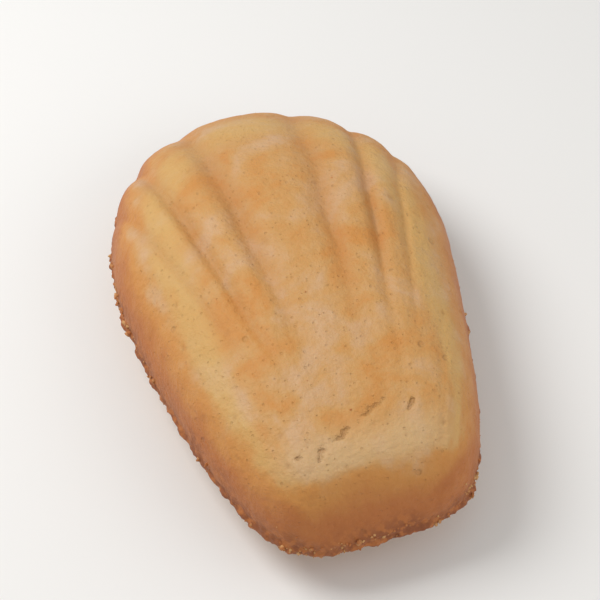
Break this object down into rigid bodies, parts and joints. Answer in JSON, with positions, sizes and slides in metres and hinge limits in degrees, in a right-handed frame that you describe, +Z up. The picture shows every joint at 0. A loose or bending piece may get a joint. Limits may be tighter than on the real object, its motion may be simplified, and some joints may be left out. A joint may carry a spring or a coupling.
{
  "type": "madeleine cake",
  "caption": "Small shell-shaped butter cake with a fluted top, a scalloped wide end, a blunt narrow end and a domed belly, lying fluted side up.",
  "frame": {"origin": "on the surface that the cake rests on, under the centre of its outline", "axes": "+Y from the blunt end to the wide scalloped end, +X across the cake, +Z up out of the fluted side"},
  "size_m": [0.0476, 0.0756, 0.0226],
  "materials": {
    "crust": "soft golden-tan sponge crust, browned at the rim and the blunt end"
  },
  "bodies": {
    "root": {"madeleine": "crust"}
  },
  "joints": []
}
